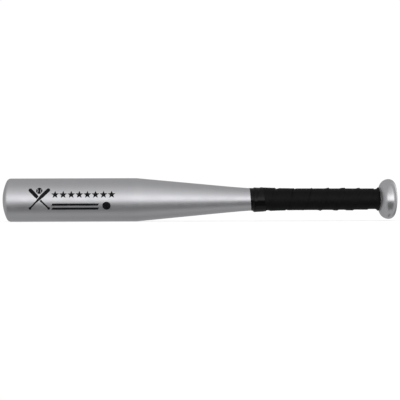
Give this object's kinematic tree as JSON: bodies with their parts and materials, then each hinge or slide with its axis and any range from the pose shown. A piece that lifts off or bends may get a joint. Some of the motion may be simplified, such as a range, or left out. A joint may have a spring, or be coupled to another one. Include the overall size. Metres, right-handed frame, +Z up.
{
  "type": "baseball bat",
  "caption": "Short hollow aluminium baseball bat with a domed barrel end, a taper to a tape-wound grip and a rounded knob.",
  "frame": {"origin": "middle of the bat's length, on the surface that its barrel lies on", "axes": "+X along the bat from the barrel to the knob, +Z up, -Y the side with the print"},
  "size_m": [0.4572, 0.0503, 0.0503],
  "materials": {
    "tube_aluminium": "satin, fine brushing round the bat",
    "dome_aluminium": "satin, turned after welding",
    "weld_aluminium": "weld metal dressed smooth",
    "knob_aluminium": "polished satin",
    "grip": "matt black synthetic leather",
    "vinyl": "glossy black vinyl",
    "ink": "flat black screen ink"
  },
  "bodies": {
    "root": {"bat_tube": "tube_aluminium", "end_dome": "dome_aluminium", "end_weld": "weld_aluminium", "knob": "knob_aluminium", "knob_weld": "weld_aluminium", "vent_plug": "knob_aluminium", "grip_tape": "grip", "finishing_tape": "vinyl", "print_emblem": "ink", "print_stars": "ink", "print_stripes": "ink", "print_dot": "ink"}
  },
  "joints": []
}
